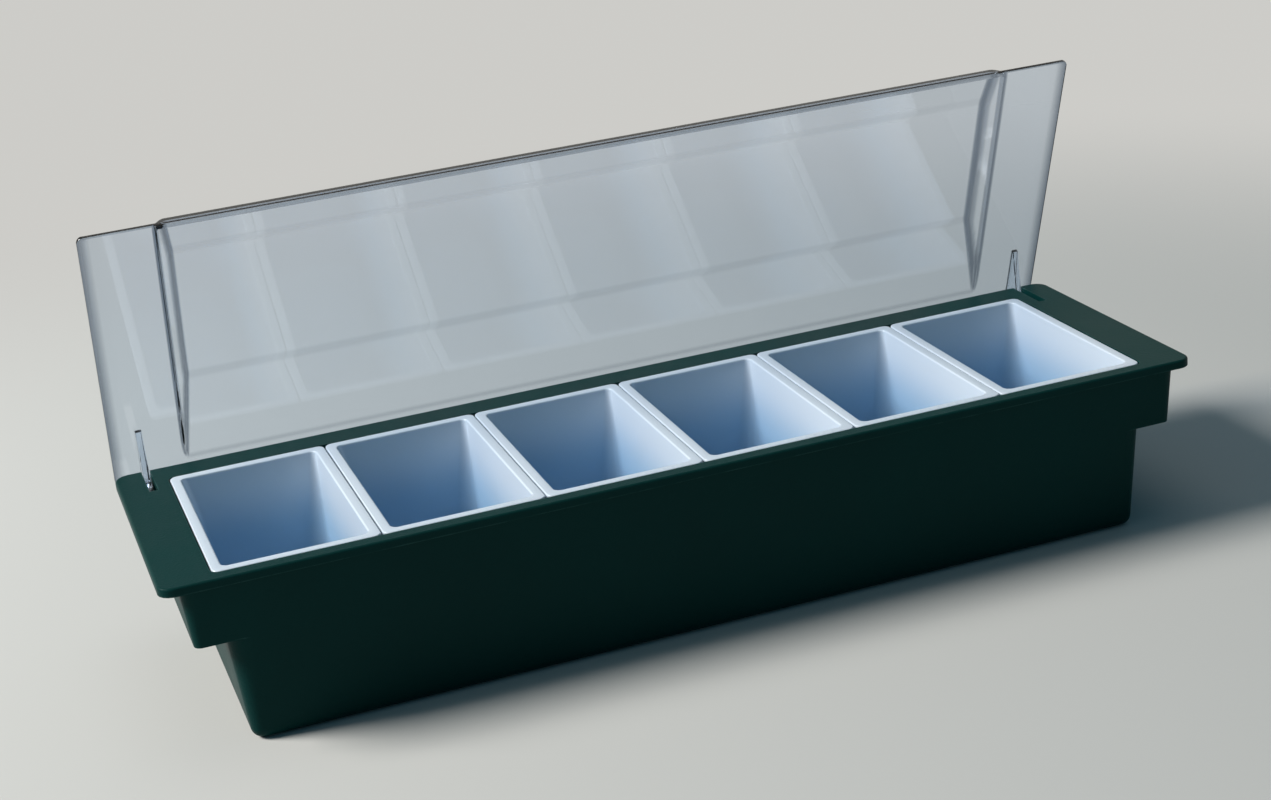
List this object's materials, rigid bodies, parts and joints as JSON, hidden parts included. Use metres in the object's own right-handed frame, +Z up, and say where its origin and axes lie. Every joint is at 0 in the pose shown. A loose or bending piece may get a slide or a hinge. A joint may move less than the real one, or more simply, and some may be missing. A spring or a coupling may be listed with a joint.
{
  "type": "bar garnish tray",
  "caption": "Long black garnish tray with lift-out white compartments side by side, hollow end grips and a clear domed lid hinged along the back.",
  "frame": {"origin": "middle of the tub's flat underside, on the surface that the tray stands on", "axes": "+X along the row of compartments to the right, +Y to the lid's hinge at the back, +Z up"},
  "size_m": [0.49, 0.1583, 0.2079],
  "materials": {
    "black_plastic": "satin moulded, very dark green-black",
    "white_plastic": "glossy moulded",
    "clear_plastic": "clear and glossy",
    "pin_steel": "plain drawn wire"
  },
  "bodies": {
    "tub": {"tray_body": "black_plastic", "hinge_pin_left": "pin_steel", "hinge_pin_right": "pin_steel"},
    "lid": {"lid": "clear_plastic"},
    "compartment_1": {"compartment_1": "white_plastic"},
    "compartment_2": {"compartment_2": "white_plastic"},
    "compartment_3": {"compartment_3": "white_plastic"},
    "compartment_4": {"compartment_4": "white_plastic"},
    "compartment_5": {"compartment_5": "white_plastic"},
    "compartment_6": {"compartment_6": "white_plastic"}
  },
  "joints": [
    {"name": "lid_hinge", "type": "hinge", "parent": "tub", "child": "lid", "pos_m": [0, 0.073, 0.0726], "axis": [-1, 0, 0], "range_deg": [-70, 35]},
    {"name": "compartment_1_lift", "type": "slide", "parent": "tub", "child": "compartment_1", "axis": [0, -0.0802, 0.9968], "range_m": [0, 0.08]},
    {"name": "compartment_2_lift", "type": "slide", "parent": "tub", "child": "compartment_2", "axis": [0, -0.0802, 0.9968], "range_m": [0, 0.08]},
    {"name": "compartment_3_lift", "type": "slide", "parent": "tub", "child": "compartment_3", "axis": [0, -0.0802, 0.9968], "range_m": [0, 0.08]},
    {"name": "compartment_4_lift", "type": "slide", "parent": "tub", "child": "compartment_4", "axis": [0, -0.0802, 0.9968], "range_m": [0, 0.08]},
    {"name": "compartment_5_lift", "type": "slide", "parent": "tub", "child": "compartment_5", "axis": [0, -0.0802, 0.9968], "range_m": [0, 0.08]},
    {"name": "compartment_6_lift", "type": "slide", "parent": "tub", "child": "compartment_6", "axis": [0, -0.0802, 0.9968], "range_m": [0, 0.08]}
  ]
}
